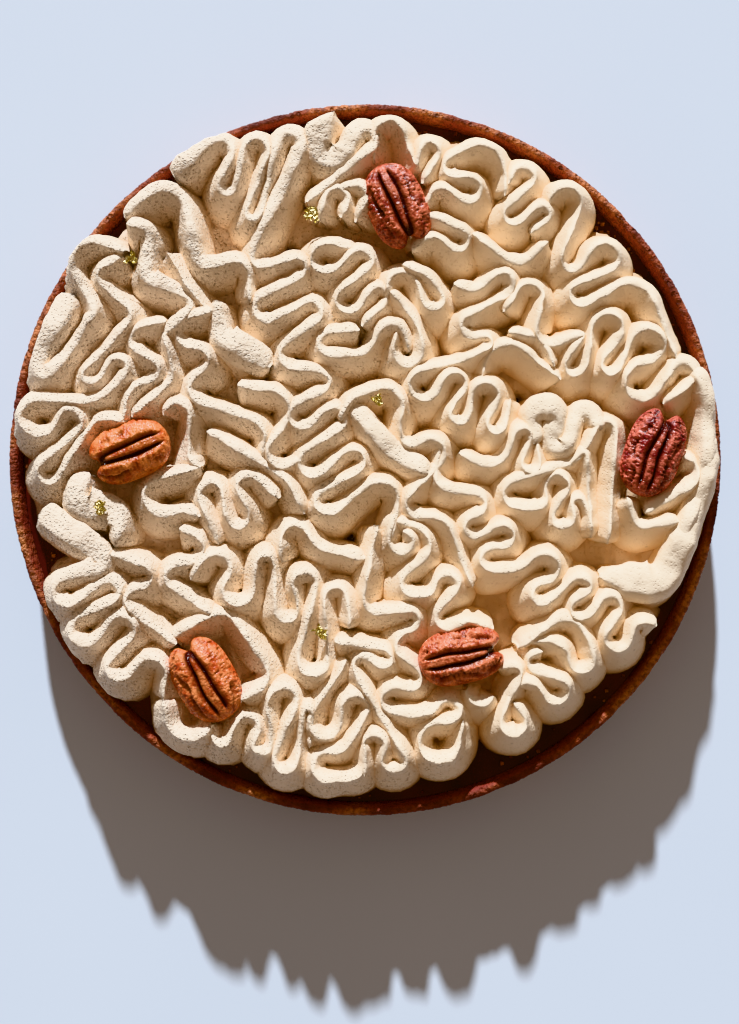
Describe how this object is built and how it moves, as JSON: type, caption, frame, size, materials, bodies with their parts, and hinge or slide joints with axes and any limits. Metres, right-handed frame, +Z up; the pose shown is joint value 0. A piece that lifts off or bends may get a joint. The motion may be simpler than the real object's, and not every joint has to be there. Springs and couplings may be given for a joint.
{
  "type": "pecan tart",
  "caption": "Round straight-sided tart with a dark filling, upright piped ribbons of coffee cream over the whole top, pecan halves and flecks of gold leaf.",
  "frame": {"origin": "middle of the tart's flat base, on the surface it stands on", "axes": "+Z up through the top; +Y to the back, where the pecan nearest the rim's back edge lies; +X to the right"},
  "size_m": [0.24, 0.24, 0.043],
  "materials": {
    "crust": "matte, granular",
    "filling": "moist, glossy",
    "cream": "soft satin",
    "pecan": "wrinkled, satin"
  },
  "bodies": {
    "root": {"crust": "crust", "filling": "filling", "cream": "cream", "pecan_north": "pecan", "pecan_west": "pecan", "pecan_east": "pecan", "pecan_south": "pecan", "pecan_south_west": "pecan"}
  },
  "joints": []
}
